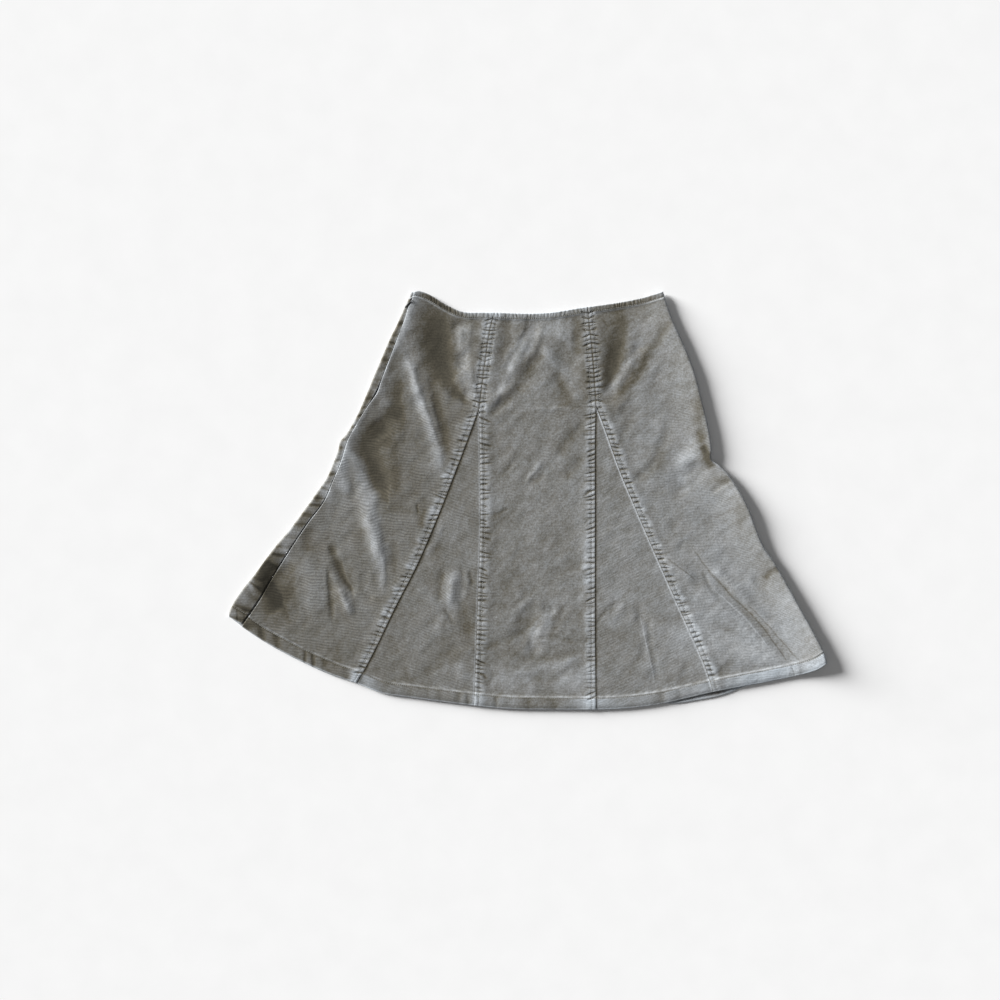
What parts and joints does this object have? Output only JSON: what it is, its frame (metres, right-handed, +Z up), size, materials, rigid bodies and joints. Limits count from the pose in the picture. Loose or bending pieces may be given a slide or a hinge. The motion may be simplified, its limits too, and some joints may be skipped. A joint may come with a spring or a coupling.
{
  "type": "a-line skirt",
  "caption": "Flared corduroy skirt laid flat, front up: princess seams that open into triangular godets, stitched waist edge, turned-up hem and a side zip.",
  "frame": {"origin": "bottom centre of the bounding box, on the surface that the skirt lies on", "axes": "+Z up out of the front of the skirt, +Y towards the waist, +X to the right of the skirt as seen from above"},
  "size_m": [0.868, 0.6057, 0.0082],
  "materials": {
    "corduroy": "washed fine-wale cotton corduroy, matt, paler on edges and seams",
    "zip_tape": "woven black tape, matt",
    "black_lacquer": "black lacquered die-cast metal, satin"
  },
  "bodies": {
    "skirt": {"front_left_panel": "corduroy", "front_centre_panel": "corduroy", "front_right_panel": "corduroy", "godet_left": "corduroy", "godet_right": "corduroy", "back_panel": "corduroy", "zip_tape": "zip_tape", "zip_slider": "black_lacquer"},
    "pull": {"zip_pull": "black_lacquer"}
  },
  "joints": [
    {"name": "pull_swing", "type": "hinge", "parent": "skirt", "child": "pull", "pos_m": [-0.16822, 0.28795, 0.00655], "axis": [-0.7314, 0.682, 0], "range_deg": [0, 130]}
  ]
}
